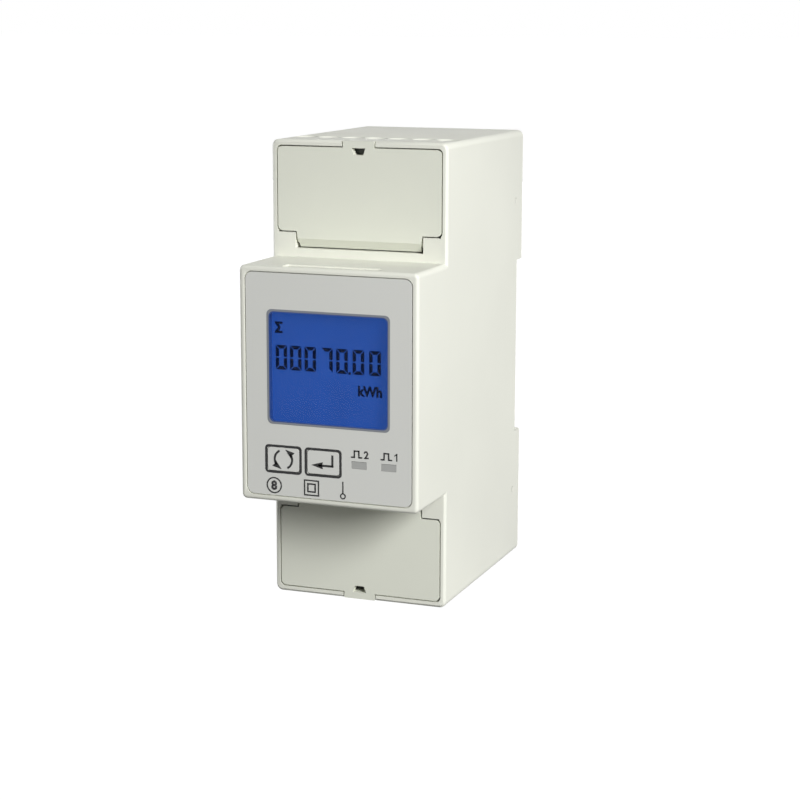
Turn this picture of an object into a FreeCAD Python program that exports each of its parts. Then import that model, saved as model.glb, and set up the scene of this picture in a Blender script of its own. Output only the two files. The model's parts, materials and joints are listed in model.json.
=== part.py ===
import FreeCAD, Part
import math
import os

# Two-module meter for a 35 mm top-hat rail: a moulded housing with a raised nose, hinged
# terminal covers above and below it, and everything that the housing holds.
# Millimetres. X is the width, the front faces -Y, Z is up, and the meter stands on Z = 0.

# Housing
MODULE = 18.0             # width of one rail module
MODULES = 2
BODY_HEIGHT = 90.0
BODY_DEPTH = 63.0         # nose front to rear face
NOSE_HEIGHT = 45.0
NOSE_PROJECTION = 15.5    # nose front to shoulder
WALL = 1.3
NOSE_WALL = 2.0
BODY_CORNER = 1.3         # rounding of the long edges that run front to rear
NOSE_CORNER = 1.0
BODY_EDGE = 0.45          # rounding of the edges around the shoulder
NOSE_EDGE = 0.7
REAR_EDGE = 0.8
FRAME_BAR = 1.65          # strip between the nose and a terminal cover
FIT = 0.15                # gap between pieces that are only assembled
SLIP = 0.05               # gap round a turning or sliding metal part
EMBED = 0.1               # how far a joined shape starts inside the one that carries it
BEYOND = 1.0              # how far a cut runs past the face that it opens

# Rail pocket
RAIL_OPENING = 36.5
RAIL_POCKET = 4.0
RAIL_THICK = 1.0
RAIL_PLAY = 0.2
HOOK_REACH = 2.6
HOOK_HALF = 12.0
HOOK_LEAD = 0.6

# Terminal covers
COVER_THICK = 1.5
COVER_GAP = 0.25
COVER_SIDE = 1.25         # frame strip beside a cover, gap included
COVER_EDGE = 1.3          # frame strip beyond a cover's outer edge
COVER_CORNER = 1.0
TAB_HALF = 3.2            # latch tab that reaches the housing's end
HINGE_HALF = 12.9
HINGE_TAPER = 0.45
HINGE_RISE = 1.4          # hinge axis above the cover's inner edge
KNUCKLE = 1.0
PIN = 0.7
PIN_LENGTH = 1.4
PIN_PLAY = 0.05
SWING_CLEAR = 0.15
BEVEL_HEIGHT = 1.8
BEVEL_DEPTH = 1.0
RELIEF = 0.75             # rear edge cut back beside the hinge, clear of the blocks
RELIEF_LAND = 0.15
SEAL_WIDTH = 2.8
SEAL_HEIGHT = 1.3
SEAL_TAPER = 0.4
SEAL_CORNER = 0.3
SEAL_INSET = 2.0          # seal hole's centre below the housing's end
TONGUE_HALF = 2.6
TONGUE_LENGTH = 3.0
TONGUE_THICK = 1.1
TONGUE_INSET = 3.2
TONGUE_LEAD = 0.4
RIB = 0.8

# Faceplate and display
PLATE_SIDE = 1.3          # frame strip beside the faceplate
PLATE_END = 1.2           # frame strip above and below it
PLATE_THICK = 0.5
PLATE_SINK = 0.1
PLATE_GAP = 0.2
PLATE_CORNER = 1.4
GRIP_HALF = 9.5           # shallow recess on the nose's top, behind its front edge
GRIP_LENGTH = 3.2
GRIP_SINK = 0.3
WINDOW_WIDTH = 24.6
WINDOW_HEIGHT = 21.7
WINDOW_DROP = 19.0        # its centre below the nose's upper end
WINDOW_CORNER = 0.8
GLASS_MARGIN = 0.9
GLASS_THICK = 2.0
LCD_RIM = 1.0
STRIP = 1.3
BOARD = 1.2
DISPLAY_BOARD_DEPTH = 8.0

# Keys and pulse lights, with their centres measured up from the nose's lower end
KEY_WIDTH = 6.5
KEY_HEIGHT = 4.5
KEY_CORNER = 0.6
KEY_X = (-9.2, -1.05)
KEY_RISE = 8.3
KEY_GAP = 0.12
KEY_FLANGE = 0.6
KEY_FLANGE_THICK = 0.8
KEY_STEM = 2.4
KEY_TRAVEL = 0.3
SWITCH = 6.0
SWITCH_BODY = 3.4
SWITCH_ACTUATOR = 1.6
ACTUATOR_RISE = 0.6
PULSE_WIDTH = 2.9
PULSE_HEIGHT = 1.3
PULSE_X = (6.2, 12.15)
PULSE_RISE = 8.4
LED = (2.0, 1.2, 0.8)     # width, height and thickness

# Main terminals, below the nose: four cage clamps with wires from underneath
MAIN_COUNT = 4
MAIN_PITCH = 8.2
MAIN_CHAMBER = 7.0
MAIN_CAGE_SIDE = 0.8
MAIN_CAGE_FRONT = 1.6
MAIN_CAGE_REAR = 1.2
MAIN_CAGE_HEIGHT = 9.0
MAIN_SCREW = 2.0          # shank radius
MAIN_HEAD = 3.0
MAIN_HEAD_LENGTH = 2.8
MAIN_SINK = 3.6
MAIN_WEB = 1.0
MAIN_THREAD_PITCH = 0.7
MAIN_TURNS = 6
MAIN_BAR = 1.5
MAIN_ROOM = 6.6
MAIN_AXIS = 9.2           # screw axis from the housing's end
MAIN_DRIVE = (1.0, 2.3, 1.6)    # recess in the head: width, reach from the axis, depth

# Auxiliary terminals, above the nose: seven small cage clamps with wires from the top
AUX_COUNT = 7
AUX_PITCH = 4.9
AUX_CHAMBER = 3.0
AUX_CAGE_SIDE = 0.4
AUX_CAGE_FRONT = 0.5
AUX_CAGE_REAR = 0.5
AUX_CAGE_HEIGHT = 4.6
AUX_SCREW = 0.8
AUX_HEAD = 1.3
AUX_HEAD_LENGTH = 1.4
AUX_SINK = 1.0
AUX_WEB = 0.75
AUX_THREAD_PITCH = 0.4
AUX_TURNS = 3
AUX_BAR = 0.5
AUX_ROOM = 2.2
AUX_AXIS = 7.2
AUX_DRIVE = (0.45, 0.95, 0.8)
FUNNEL_MOUTH = 2.3
FUNNEL_THROAT = 1.5
FUNNEL_DEPTH = 0.9
AUX_PIN = 0.8

# Terminal mouldings
FACE_SINK = 2.9           # terminal faces behind the shoulder
FACE_THICK = 1.4
MOULD_WALL = 1.2
SHUNT_HEIGHT = 5.0
BAR_RISE = 7.0            # busbars above the carrier
SENSE_TAB = 1.4
SENSE_RISE = 6.0

# Boards
POWER_BOARD = 1.6
BOARD_MARGIN = 0.9
BOARD_HEADROOM = 2.8
HEADER_PINS = 6
HEADER_PITCH = 2.54
HEADER_PIN = 0.64
HEADER_STRIP = 2.5
HEADER_DROP = 5.2         # below the nose's upper end

# Components on the boards: width, height and thickness
PROCESSOR = (9.0, 9.0, 1.2)
METERING_CHIP = (7.0, 10.0, 2.0)
TRANSCEIVER = (4.0, 5.0, 1.5)
OPTOCOUPLER = (4.6, 6.5, 3.4)
FILM_CAPACITOR = (13.0, 18.0, 8.0)
TRANSFORMER_CORE = (12.0, 13.0, 6.0)
TRANSFORMER_BOBBIN = (9.0, 10.0, 10.0)
CAN_RADIUS = 4.0
CAN_CLEAR = 1.85          # from the smoothing capacitor's end to the rear base
VARISTOR_RADIUS = 3.8
VARISTOR_THICK = 3.6
VARISTOR_LIFT = 1.0
VARISTOR_LEG = 0.6
VARISTOR_LEGS = 5.0       # distance between its legs
PART_GAP = 0.75           # from one component to the next
PART_SIDE = 1.9           # from a component to the board's side edge

# Rear base
BASE_WALL = 2.0
BASE_RECESS = 0.3
PILLAR = 2.6
PILLAR_INSET = 3.3
SNAP_HALF = 2.0
SNAP_END = 14.3           # snap lugs' centre from the housing's ends
SNAP_INSET = 6.0
SNAP_REACH = 0.4
SNAP_LENGTH = 2.0
SNAP_LEAD = 1.6

# Rail latch
LATCH_HALF = 7.0
LATCH_FLANGE = 1.0
LATCH_DEPTH = 3.0
LATCH_STEP = 1.5
LATCH_REACH = 2.9
LATCH_TRAVEL = 4.0
LATCH_FOOT = 0.3
LATCH_WINDOW = 2.8
LATCH_WINDOW_LOW = 6.0
LATCH_WINDOW_HIGH = 21.0
LATCH_LIP = 0.9           # flat top of the lip, with a lead-in behind it
LATCH_LEAD = 1.6
LATCH_CORNER = 0.3
BLADE_WIDTH = 6.0         # slot for a screwdriver's blade
BLADE_THICK = 1.4
BLADE_RISE = 2.6
GROOVES = 3
GROOVE = 0.5
GROOVE_PITCH = 1.2
GROOVE_HALF = 3.6
POST_HEIGHT = 1.2
SPRING_HALF = 2.3
SPRING_BAND = 0.4
SPRING_FOLDS = 6

# Planes that the driving sizes give
WIDTH = MODULE * MODULES
HALF = WIDTH / 2
FRONT = -BODY_DEPTH / 2
REAR = BODY_DEPTH / 2
SHOULDER = FRONT + NOSE_PROJECTION
SEAT = REAR - RAIL_POCKET
MID = BODY_HEIGHT / 2
NOSE_LOW = MID - NOSE_HEIGHT / 2
NOSE_HIGH = MID + NOSE_HEIGHT / 2
RAIL_LOW = MID - RAIL_OPENING / 2
RAIL_HIGH = MID + RAIL_OPENING / 2
INNER = HALF - WALL
CEILING = BODY_HEIGHT - WALL
COVER_HALF = HALF - COVER_SIDE
COVER_TOP = BODY_HEIGHT - COVER_EDGE
COVER_INNER_EDGE = NOSE_HIGH + FRAME_BAR + COVER_GAP
HINGE_Z = COVER_INNER_EDGE + HINGE_RISE
HINGE_Y = SHOULDER + COVER_THICK
COVER_FOOT = HINGE_Z + COVER_THICK + SWING_CLEAR
FACE = SHOULDER + FACE_SINK
PLATE_FLOOR = FRONT + PLATE_SINK + PLATE_THICK
NOSE_INSIDE = FRONT + NOSE_WALL
PLATE_WIDTH = WIDTH - 2 * PLATE_SIDE
PLATE_HEIGHT = NOSE_HEIGHT - 2 * PLATE_END
WINDOW_Z = NOSE_HIGH - WINDOW_DROP
KEY_Z = NOSE_LOW + KEY_RISE
PULSE_Z = NOSE_LOW + PULSE_RISE
SNAP_Z = BODY_HEIGHT - SNAP_END
HEADER_Z = NOSE_HIGH - HEADER_DROP
DISPLAY_BOARD = FRONT + DISPLAY_BOARD_DEPTH
BASE_SEAT = SEAT - BASE_RECESS
TONGUE_TOP = COVER_TOP - TONGUE_INSET + COVER_EDGE
SWITCH_TIP = DISPLAY_BOARD - SWITCH_BODY - ACTUATOR_RISE


def v(x, y, z):
    return FreeCAD.Vector(x, y, z)


def box(x, y, z):
    """A block between two values on each axis."""
    return Part.makeBox(x[1] - x[0], y[1] - y[0], z[1] - z[0], v(x[0], y[0], z[0]))


def rod(radius, start, end):
    """A cylinder from one point to another."""
    line = end - start
    return Part.makeCylinder(radius, line.Length, start, line)


def outline(corners, place):
    """A closed wire through corners (a, b, radius), each rounded by its radius."""
    ends = []
    for i, (a, b, radius) in enumerate(corners):
        here = v(a, b, 0)
        back = v(*corners[i - 1][:2], 0) - here
        ahead = v(*corners[(i + 1) % len(corners)][:2], 0) - here
        back.normalize()
        ahead.normalize()
        if radius == 0:
            ends.append((here, None, here))
            continue
        half = back.getAngle(ahead) / 2
        middle = back + ahead
        middle.normalize()
        near = middle * (radius / math.sin(half) - radius)
        ends.append((here + back * (radius / math.tan(half)), here + near,
                     here + ahead * (radius / math.tan(half))))
    edges = []
    for i, (start, bend, end) in enumerate(ends):
        if bend is not None:
            edges.append(Part.Arc(place(start), place(bend), place(end)).toShape())
        following = ends[(i + 1) % len(ends)][0]
        if (following - end).Length > 1e-6:
            edges.append(Part.LineSegment(place(end), place(following)).toShape())
    return Part.Wire(edges)


def across(corners, low, high):
    """A prism along X over an outline in Y and Z."""
    wire = outline(corners, lambda p: v(low, p.x, p.y))
    return Part.Face(wire).extrude(v(high - low, 0, 0))


def deep(corners, low, high):
    """A prism along Y over an outline in X and Z."""
    wire = outline(corners, lambda p: v(p.x, low, p.y))
    return Part.Face(wire).extrude(v(0, high - low, 0))


def upright(corners, low, high):
    """A prism along Z over an outline in X and Y."""
    wire = outline(corners, lambda p: v(p.x, p.y, low))
    return Part.Face(wire).extrude(v(0, 0, high - low))


def block(x, z, radius):
    """The corners of a rounded rectangle."""
    return [(x[0], z[0], radius), (x[1], z[0], radius), (x[1], z[1], radius), (x[0], z[1], radius)]


def centred(x, z, width, height, radius=0):
    return block((x - width / 2, x + width / 2), (z - height / 2, z + height / 2), radius)


def joined(*shapes):
    return shapes[0].fuse(list(shapes[1:])).removeSplitter()


def both_ends(shape):
    """The shape and its mirror image below the middle of the height."""
    return [shape, flipped(shape)]


def flipped(shape):
    return shape.mirror(v(0, 0, MID), v(0, 0, 1))


def both_sides(shape):
    return [shape, shape.mirror(v(0, 0, 0), v(1, 0, 0))]


def edges_at(shape, y):
    """The edges that lie wholly in the plane at y."""
    near = 1e-4
    return [e for e in shape.Edges if abs(e.BoundBox.YMin - y) < near and abs(e.BoundBox.YMax - y) < near]


def hole(x, z, width, height, radius=0):
    """The cut for an opening through the nose's front wall or the faceplate."""
    return deep(centred(x, z, width, height, radius), FRONT - BEYOND, NOSE_INSIDE + BEYOND)


class Clamp:
    """One kind of cage clamp: its sizes, and its places along Y from the terminal face back."""

    def __init__(self, count, pitch, axis, chamber, walls, height, screw, sink, web, thread, bar, room,
                 drive, small):
        self.count = count
        self.pitch = pitch
        self.axis = axis
        self.chamber = chamber
        self.cage_side, self.cage_front, self.cage_rear = walls
        self.height = height
        self.shank, self.head, self.head_length = screw
        self.travel = thread[0] * thread[1]
        self.drive, self.drive_reach, self.drive_depth = drive
        self.small = small
        self.head_front = FACE + sink
        self.head_rear = self.head_front + self.head_length
        self.web_front = self.head_rear + SLIP
        self.web_rear = self.web_front + web
        self.cage_y = self.web_rear + SLIP + self.travel
        self.bar_front = self.cage_y + self.cage_front + SLIP
        self.bar_rear = self.bar_front + bar
        self.room_rear = self.bar_rear + room
        self.cage_end = self.room_rear + self.cage_rear
        self.chamber_rear = self.cage_end + FIT
        self.mould_rear = self.chamber_rear + MOULD_WALL
        self.cage_half = chamber / 2 - FIT
        self.throat_half = self.cage_half - self.cage_side
        self.bar_half = self.throat_half - 2 * SLIP
        self.low = axis - height / 2
        self.high = axis + height / 2

    def poles(self):
        """The X of each pole, from left to right as seen from the front."""
        return [(i - (self.count - 1) / 2) * self.pitch for i in range(self.count)]


MAIN = Clamp(MAIN_COUNT, MAIN_PITCH, MAIN_AXIS, MAIN_CHAMBER,
             (MAIN_CAGE_SIDE, MAIN_CAGE_FRONT, MAIN_CAGE_REAR), MAIN_CAGE_HEIGHT,
             (MAIN_SCREW, MAIN_HEAD, MAIN_HEAD_LENGTH), MAIN_SINK, MAIN_WEB,
             (MAIN_THREAD_PITCH, MAIN_TURNS), MAIN_BAR, MAIN_ROOM, MAIN_DRIVE, small=False)
AUX = Clamp(AUX_COUNT, AUX_PITCH, BODY_HEIGHT - AUX_AXIS, AUX_CHAMBER,
            (AUX_CAGE_SIDE, AUX_CAGE_FRONT, AUX_CAGE_REAR), AUX_CAGE_HEIGHT,
            (AUX_SCREW, AUX_HEAD, AUX_HEAD_LENGTH), AUX_SINK, AUX_WEB,
            (AUX_THREAD_PITCH, AUX_TURNS), AUX_BAR, AUX_ROOM, AUX_DRIVE, small=True)
POWER_FRONT = MAIN.bar_rear
POWER_REAR = POWER_FRONT + POWER_BOARD
POWER_LOW = RAIL_LOW
POWER_HIGH = CEILING - BOARD_HEADROOM
CARRIER_TOP = MAIN.high + FIT + MOULD_WALL * 2
BAR_TOP = CARRIER_TOP + BAR_RISE
AUX_FLOOR = AUX.low - FIT - MOULD_WALL
AUX_PIN_LOW = AUX_FLOOR - FIT - AUX_PIN
MOULD_HALF = INNER - FIT
BOARD_HALF = INNER - BOARD_MARGIN


def cover_outline(grow):
    """The outline of the upper cover, grown by a gap for the opening that it closes."""
    side = COVER_HALF + grow
    foot = COVER_FOOT - grow
    top = COVER_TOP + grow
    tab = TAB_HALF + grow
    edge = COVER_INNER_EDGE - grow
    hinge = HINGE_HALF + grow
    end = BODY_HEIGHT + grow
    return [(-hinge + HINGE_TAPER, edge, 0), (hinge - HINGE_TAPER, edge, 0), (hinge, foot, 0),
            (side, foot, COVER_CORNER), (side, top, COVER_CORNER), (tab, top, 0), (tab, end, 0),
            (-tab, end, 0), (-tab, top, 0), (-side, top, COVER_CORNER),
            (-side, foot, COVER_CORNER), (-hinge, foot, 0)]


def cover():
    """Upper terminal cover, closed: plate, hinge knuckle with two pins, ribs and latch tongue."""
    back = SHOULDER + COVER_THICK
    plate = deep(cover_outline(0), SHOULDER, back)
    knuckle = rod(KNUCKLE, v(-HINGE_HALF + HINGE_TAPER, HINGE_Y, HINGE_Z),
                  v(HINGE_HALF - HINGE_TAPER, HINGE_Y, HINGE_Z))
    pins = rod(PIN, v(-HINGE_HALF - PIN_LENGTH, HINGE_Y, HINGE_Z),
               v(HINGE_HALF + PIN_LENGTH, HINGE_Y, HINGE_Z))
    low = TONGUE_TOP - TONGUE_THICK
    tip = back + TONGUE_LENGTH
    tongue = across([(back - EMBED, low, 0), (tip, low, 0), (tip, TONGUE_TOP - TONGUE_LEAD, 0),
                     (tip - TONGUE_LEAD, TONGUE_TOP, 0), (back - EMBED, TONGUE_TOP, 0)],
                    -TONGUE_HALF, TONGUE_HALF)
    rib = box((MAIN_PITCH - RIB / 2, MAIN_PITCH + RIB / 2), (back - EMBED, back + RIB),
              (COVER_FOOT + COVER_CORNER, low - RIB))
    return joined(plate, knuckle, pins, tongue, *both_sides(rib)).cut(cover_cuts(back))


def cover_cuts(back):
    """Bevel along the inner edge, relief beside the hinge blocks, and the hole for a seal's wire."""
    bevel = across([(SHOULDER - EMBED, COVER_INNER_EDGE - EMBED, 0),
                    (SHOULDER + BEVEL_DEPTH, COVER_INNER_EDGE - EMBED, 0),
                    (SHOULDER - EMBED, COVER_INNER_EDGE + BEVEL_HEIGHT, 0)], -HINGE_HALF, HINGE_HALF)
    relief = across([(SHOULDER + RELIEF_LAND, COVER_FOOT - EMBED, 0), (back + EMBED, COVER_FOOT - EMBED, 0),
                     (back + EMBED, COVER_FOOT + RELIEF, 0), (SHOULDER + RELIEF_LAND, COVER_FOOT, 0)],
                    HINGE_HALF, HALF)
    low = BODY_HEIGHT - SEAL_INSET - SEAL_HEIGHT / 2
    high = low + SEAL_HEIGHT
    wide = SEAL_WIDTH / 2
    seal = deep([(-wide + SEAL_TAPER, low, SEAL_CORNER), (wide - SEAL_TAPER, low, SEAL_CORNER),
                 (wide, high, 0), (-wide, high, 0)], SHOULDER - BEYOND, back + BEYOND)
    return [bevel, seal] + both_sides(relief)


def housing():
    """One moulding: rear box, shoulders and nose, open at the rear and under both covers."""
    body = deep(block((-HALF, HALF), (0, BODY_HEIGHT), BODY_CORNER), SHOULDER, REAR)
    body = body.makeChamfer(BODY_EDGE, edges_at(body, SHOULDER))
    body = body.makeChamfer(REAR_EDGE, edges_at(body, REAR))
    nose = deep(block((-HALF, HALF), (NOSE_LOW, NOSE_HIGH), NOSE_CORNER), FRONT, SHOULDER + WALL)
    nose = nose.makeFillet(NOSE_EDGE, edges_at(nose, FRONT))
    shell = joined(body, nose).cut([housing_cavity()] + both_ends(cover_opening()))
    rail_notch = box((-HALF - BEYOND, HALF + BEYOND), (SEAT, REAR + BEYOND), (RAIL_LOW, RAIL_HIGH))
    flange = LATCH_HALF + LATCH_FLANGE + FIT
    latch_gap = box((-flange, flange), (REAR - LATCH_DEPTH - FIT, REAR + BEYOND), (-BEYOND, WALL + BEYOND))
    shell = shell.cut([rail_notch, latch_gap]).cut(nose_cuts()).cut(wire_cuts()).cut(snap_cuts())
    return joined(shell, *board_posts())


def housing_cavity():
    """The room inside: behind both terminal faces, and in the nose."""
    rear = box((-INNER, INNER), (FACE, REAR + BEYOND), (WALL, CEILING))
    nose = box((-INNER, INNER), (NOSE_INSIDE, FACE), (NOSE_LOW + WALL, NOSE_HIGH - WALL))
    return joined(rear, nose)


def cover_opening():
    """What the upper cover closes: window, rebate for its plate, and sockets for its pins."""
    window = box((-INNER, INNER), (SHOULDER - BEYOND, FACE), (COVER_FOOT - COVER_GAP, CEILING))
    side = HINGE_HALF + COVER_GAP
    notch = box((-side, side), (SHOULDER - BEYOND, FACE), (COVER_INNER_EDGE - COVER_GAP, COVER_FOOT))
    rebate = deep(cover_outline(COVER_GAP), SHOULDER - BEYOND, SHOULDER + COVER_THICK + SLIP)
    reach = HINGE_HALF + PIN_LENGTH + FIT
    half = PIN + PIN_PLAY
    sockets = box((-reach, reach), (HINGE_Y - half, HINGE_Y + half), (HINGE_Z - half, HINGE_Z + half))
    return joined(window, notch, rebate, sockets)


def nose_cuts():
    """The faceplate's recess, the openings behind it and the shallow recess on top."""
    recess = deep(centred(0, MID, PLATE_WIDTH + 2 * PLATE_GAP, PLATE_HEIGHT + 2 * PLATE_GAP,
                          PLATE_CORNER + PLATE_GAP), FRONT - BEYOND, PLATE_FLOOR)
    cuts = [recess, hole(0, WINDOW_Z, WINDOW_WIDTH + 2 * FIT, WINDOW_HEIGHT + 2 * FIT)]
    for x in KEY_X:
        cuts.append(hole(x, KEY_Z, KEY_WIDTH + 2 * KEY_GAP, KEY_HEIGHT + 2 * KEY_GAP))
    for x in PULSE_X:
        cuts.append(hole(x, PULSE_Z, PULSE_WIDTH + 2 * SLIP, PULSE_HEIGHT + 2 * SLIP))
    start = FRONT + NOSE_EDGE
    cuts.append(box((-GRIP_HALF, GRIP_HALF), (start, start + GRIP_LENGTH),
                    (NOSE_HIGH - GRIP_SINK, NOSE_HIGH + BEYOND)))
    return cuts


def wire_cuts():
    """Seven round funnels in the top wall and four square openings in the bottom wall."""
    cuts = []
    wire_y = (AUX.bar_rear + AUX.room_rear) / 2
    funnel_floor = BODY_HEIGHT - FUNNEL_DEPTH
    for x in AUX.poles():
        cuts.append(Part.makeCone(FUNNEL_THROAT, FUNNEL_MOUTH, FUNNEL_DEPTH, v(x, wire_y, funnel_floor)))
        cuts.append(box((x - AUX.throat_half, x + AUX.throat_half), (AUX.bar_rear, AUX.room_rear),
                        (CEILING - BEYOND, funnel_floor + EMBED)))
    for x in MAIN.poles():
        cuts.append(box((x - MAIN.throat_half, x + MAIN.throat_half), (MAIN.bar_rear, MAIN.room_rear),
                        (-BEYOND, WALL + BEYOND)))
    return cuts


def snap_cuts():
    """Pockets in the side walls for the rear base's four snap lugs."""
    start = REAR - SNAP_INSET
    pocket = box((INNER - EMBED, INNER + SNAP_REACH + FIT), (start - FIT, start + SNAP_LENGTH + FIT),
                 (SNAP_Z - SNAP_HALF - FIT, SNAP_Z + SNAP_HALF + FIT))
    return [s for shape in both_ends(pocket) for s in both_sides(shape)]


def board_posts():
    """Four posts from the nose's wall that carry the display board."""
    x = INNER - FIT - PILLAR / 2
    z = NOSE_HEIGHT / 2 - WALL - FIT - PILLAR / 2
    return [deep(centred(side * x, MID + end * z, PILLAR, PILLAR), NOSE_INSIDE - EMBED, DISPLAY_BOARD)
            for side in (-1, 1) for end in (-1, 1)]


def rear_base():
    """Moulded rear wall: stepped in for the rail, with hook, latch channel, pillars and snaps."""
    low = WALL + FIT
    high = CEILING - FIT
    wall = REAR - BASE_WALL
    step = BASE_SEAT - BASE_WALL
    inside = [(wall, low, 0), (wall, RAIL_LOW - BASE_WALL, 0), (step, RAIL_LOW - BASE_WALL, 0),
              (step, RAIL_HIGH + BASE_WALL, 0), (wall, RAIL_HIGH + BASE_WALL, 0), (wall, high, 0)]
    outside = [(REAR, high, 0), (REAR, RAIL_HIGH, 0), (BASE_SEAT, RAIL_HIGH, 0),
               (BASE_SEAT, RAIL_LOW, 0), (REAR, RAIL_LOW, 0), (REAR, low, 0)]
    base = across(inside + outside, -MOULD_HALF, MOULD_HALF)
    flange = LATCH_HALF + LATCH_FLANGE + FIT
    floor = REAR - LATCH_DEPTH
    cheeks = box((-flange - MOULD_WALL, flange + MOULD_WALL), (floor - BASE_WALL, REAR), (low, RAIL_LOW))
    channel = box((-flange, flange), (floor, REAR - LATCH_STEP + FIT), (-BEYOND, RAIL_LOW + BEYOND))
    mouth = box((-LATCH_HALF - FIT, LATCH_HALF + FIT), (floor, REAR + BEYOND), (-BEYOND, RAIL_LOW + BEYOND))
    post = box((-SPRING_HALF, SPRING_HALF), (floor - EMBED, REAR - 2 * FIT - SPRING_BAND),
               (LATCH_WINDOW_LOW + FIT, LATCH_WINDOW_LOW + FIT + POST_HEIGHT))
    base = joined(base, cheeks, rail_hook()).cut([channel, mouth])
    return joined(base, post, *board_pillars(step, wall), *snap_arms(wall))


def rail_hook():
    """The fixed hook that holds the rail's upper edge, with a lead-in at its lip."""
    lip = SEAT + RAIL_THICK + RAIL_PLAY
    low = RAIL_HIGH - HOOK_REACH
    return across([(lip, RAIL_HIGH + EMBED, 0), (lip, low + HOOK_LEAD, 0), (lip + HOOK_LEAD, low, 0),
                   (REAR, low, 0), (REAR, RAIL_HIGH + EMBED, 0)], -HOOK_HALF, HOOK_HALF)


def board_pillars(step, wall):
    """Four pillars between the power board and the rear wall."""
    x = MOULD_HALF - PILLAR_INSET
    return [deep(centred(side * x, z, PILLAR, PILLAR), POWER_REAR, start + EMBED)
            for z, start in ((POWER_LOW + PILLAR_INSET, step), (POWER_HIGH - PILLAR_INSET, wall))
            for side in (-1, 1)]


def snap_arms(wall):
    """Four short arms that reach forward along the side walls and end in a wedge."""
    tip = REAR - SNAP_INSET
    z = (SNAP_Z - SNAP_HALF, SNAP_Z + SNAP_HALF)
    arm = box((MOULD_HALF - MOULD_WALL, MOULD_HALF), (tip, wall + EMBED), z)
    reach = INNER + SNAP_REACH
    wedge = upright([(MOULD_HALF - EMBED, tip, 0), (MOULD_HALF, tip, 0), (reach, tip + SNAP_LEAD, 0),
                     (reach, tip + SNAP_LENGTH, 0), (MOULD_HALF - EMBED, tip + SNAP_LENGTH, 0)], *z)
    return [s for shape in both_ends(joined(arm, wedge)) for s in both_sides(shape)]


def rail_latch():
    """Flanged slider: lip behind the rail, window for the spring, slot for a blade, grip grooves."""
    front = REAR - LATCH_DEPTH + FIT
    back = REAR - FIT
    tip = RAIL_LOW + LATCH_REACH
    body = across([(front, LATCH_FOOT, LATCH_CORNER), (back, LATCH_FOOT, LATCH_CORNER),
                   (back, tip - LATCH_LEAD, 0), (front + LATCH_LIP, tip, 0), (front, tip, 0)],
                  -LATCH_HALF, LATCH_HALF)
    flanges = box((-LATCH_HALF - LATCH_FLANGE, LATCH_HALF + LATCH_FLANGE), (front, REAR - LATCH_STEP),
                  (WALL + FIT, RAIL_LOW - LATCH_TRAVEL))
    through = (front - BEYOND, back + BEYOND)
    window = box((-LATCH_WINDOW, LATCH_WINDOW), through, (LATCH_WINDOW_LOW, LATCH_WINDOW_HIGH))
    slot = deep(centred(0, LATCH_FOOT + BLADE_RISE, BLADE_WIDTH, BLADE_THICK), *through)
    grooves = []
    for i in range(GROOVES):
        z = LATCH_WINDOW_HIGH + (i + 1) * GROOVE_PITCH
        grooves.append(box((-GROOVE_HALF, GROOVE_HALF), (back - GROOVE, back + BEYOND), (z, z + GROOVE)))
    return joined(body, flanges).cut([window, slot] + grooves)


def latch_spring():
    """Folded strip spring between the base's post and the top of the latch's window."""
    low = LATCH_WINDOW_LOW + FIT + POST_HEIGHT + SLIP
    high = LATCH_WINDOW_HIGH - SLIP
    y = (REAR - LATCH_DEPTH + 3 * FIT, REAR - 2 * FIT - SPRING_BAND)
    step = (high - low - SPRING_BAND) / SPRING_FOLDS
    runs = []
    for i in range(SPRING_FOLDS + 1):
        z = low + i * step
        runs.append(box((-SPRING_HALF, SPRING_HALF), y, (z, z + SPRING_BAND)))
        if i < SPRING_FOLDS:
            edge = SPRING_HALF if i % 2 == 0 else SPRING_BAND - SPRING_HALF
            runs.append(box((edge - SPRING_BAND, edge), y, (z, z + step)))
    return joined(*runs)


def terminal_block():
    """Upper insulating moulding: a face plate with seven screw wells, and seven chambers."""
    face = box((-MOULD_HALF, MOULD_HALF), (FACE, FACE + FACE_THICK), (NOSE_HIGH + FIT, CEILING - FIT))
    mould = box((-MOULD_HALF, MOULD_HALF), (FACE, AUX.mould_rear), (AUX_FLOOR, CEILING - FIT))
    cuts = [tongue_slot()]
    for x in AUX.poles():
        cuts += chamber_cuts(AUX, x, (AUX_FLOOR + MOULD_WALL, CEILING + BEYOND))
        cuts.append(box((x - AUX_PIN - SLIP, x + AUX_PIN + SLIP),
                        (AUX.bar_front - SLIP, AUX.bar_rear + SLIP),
                        (AUX_FLOOR - BEYOND, AUX_FLOOR + MOULD_WALL + EMBED)))
    return joined(face, mould).cut(cuts)


def terminal_carrier():
    """Lower insulating moulding: a face plate with four screw wells, and four chambers."""
    face = box((-MOULD_HALF, MOULD_HALF), (FACE, FACE + FACE_THICK), (WALL + FIT, NOSE_LOW - FIT))
    mould = box((-MOULD_HALF, MOULD_HALF), (FACE, MAIN.mould_rear), (WALL + FIT, CARRIER_TOP))
    cuts = [flipped(tongue_slot())]
    half = MAIN.bar_half + SLIP
    for x in MAIN.poles():
        cuts += chamber_cuts(MAIN, x, (-BEYOND, CARRIER_TOP - MOULD_WALL))
        cuts.append(box((x - half, x + half), (MAIN.bar_front - SLIP, MAIN.bar_rear + SLIP),
                        (CARRIER_TOP - MOULD_WALL - EMBED, CARRIER_TOP + BEYOND)))
    return joined(face, mould).cut(cuts)


def tongue_slot():
    """The slot in a face plate that the upper cover's latch tongue snaps into."""
    half = TONGUE_HALF + FIT
    return box((-half, half), (FACE - BEYOND, FACE + FACE_THICK + FIT + SLIP),
               (TONGUE_TOP - TONGUE_THICK - FIT, TONGUE_TOP + TONGUE_LEAD + FIT))


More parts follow.
